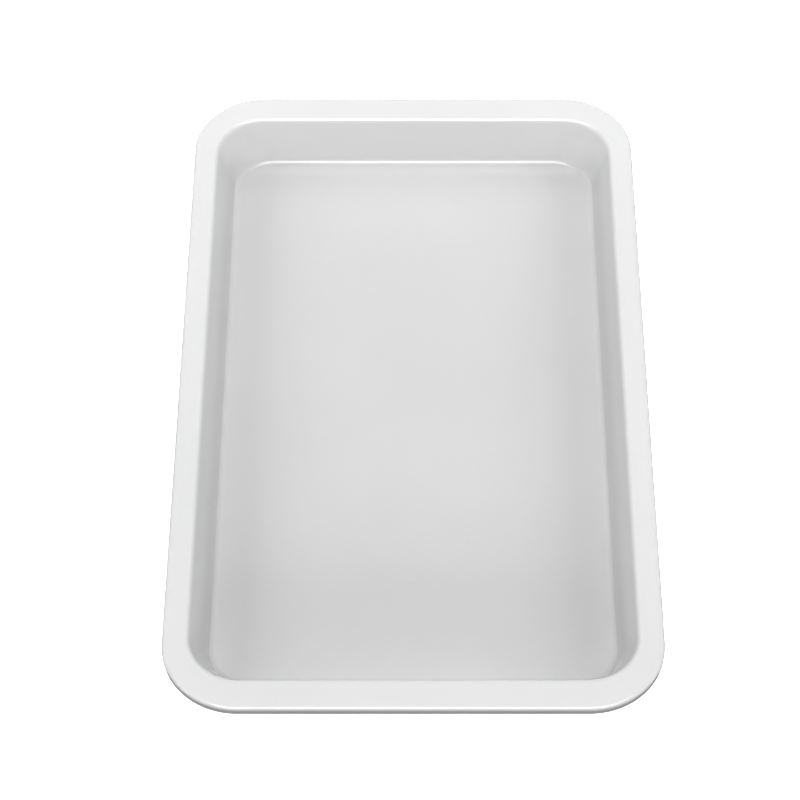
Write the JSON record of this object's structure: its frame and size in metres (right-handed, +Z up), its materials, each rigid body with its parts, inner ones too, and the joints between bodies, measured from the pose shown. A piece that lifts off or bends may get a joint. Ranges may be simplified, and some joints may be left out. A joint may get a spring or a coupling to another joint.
{
  "type": "paint roller tray",
  "caption": "Shallow flat-bottomed rectangular paint roller tray in white plastic, with rounded corners, a wide flat rim and a turned-down lip.",
  "frame": {"origin": "under the middle of the tray, on the surface that it stands on", "axes": "+Y along the tray's length, +X across it, +Z up through the open top"},
  "size_m": [0.245, 0.4, 0.028],
  "materials": {
    "white_plastic": "glossy moulded white plastic"
  },
  "bodies": {
    "root": {"tray_shell": "white_plastic"}
  },
  "joints": []
}
